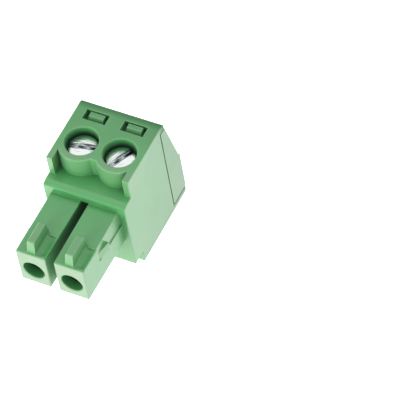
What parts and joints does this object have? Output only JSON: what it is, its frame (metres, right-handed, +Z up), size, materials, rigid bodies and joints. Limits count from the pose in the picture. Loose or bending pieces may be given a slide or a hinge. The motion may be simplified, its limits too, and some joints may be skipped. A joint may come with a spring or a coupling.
{
  "type": "pluggable terminal block",
  "caption": "Pluggable screw terminal plug with hollow pin-socket fingers, slotted clamp screws in open wells, rising cage clamps and a snap-in funnelled wire entry cover.",
  "frame": {"origin": "centre of the plug's overall box, at its flat underside", "axes": "+X across the poles, to the right as seen from the fingers; +Y towards the wire entries; +Z up, towards the screw heads"},
  "size_m": [0.0082, 0.0172, 0.0117],
  "materials": {
    "housing_polyamide": "moulded green polyamide, satin",
    "cover_polyamide": "moulded green polyamide, satin",
    "screw_steel": "bright zinc plated, turned",
    "cage_steel": "zinc plated",
    "contact_tin": "tin plated, stamped"
  },
  "bodies": {
    "housing": {"housing": "housing_polyamide", "wire_entry_cover": "cover_polyamide", "socket_contact_1": "contact_tin", "socket_contact_2": "contact_tin"},
    "clamp_screw_1": {"clamp_screw_1": "screw_steel"},
    "clamp_cage_1": {"clamp_cage_1": "cage_steel"},
    "clamp_screw_2": {"clamp_screw_2": "screw_steel"},
    "clamp_cage_2": {"clamp_cage_2": "cage_steel"}
  },
  "joints": [
    {"name": "clamp_screw_1_turn", "type": "hinge", "parent": "housing", "child": "clamp_screw_1", "pos_m": [-0.00191, 0.00252, 0.0098], "axis": [0, 0, -1], "range_deg": [0, 1620]},
    {"name": "clamp_cage_1_rise", "type": "slide", "parent": "housing", "child": "clamp_cage_1", "axis": [0, 0, 1], "range_m": [0, 0.0018]},
    {"name": "clamp_screw_2_turn", "type": "hinge", "parent": "housing", "child": "clamp_screw_2", "pos_m": [0.00191, 0.00252, 0.0098], "axis": [0, 0, -1], "range_deg": [0, 1620]},
    {"name": "clamp_cage_2_rise", "type": "slide", "parent": "housing", "child": "clamp_cage_2", "axis": [0, 0, 1], "range_m": [0, 0.0018]}
  ],
  "couplings": [
    {"joint": "clamp_screw_1_turn", "follows": "clamp_cage_1_rise", "rad_per_m": 15708},
    {"joint": "clamp_screw_2_turn", "follows": "clamp_cage_2_rise", "rad_per_m": 15708}
  ]
}
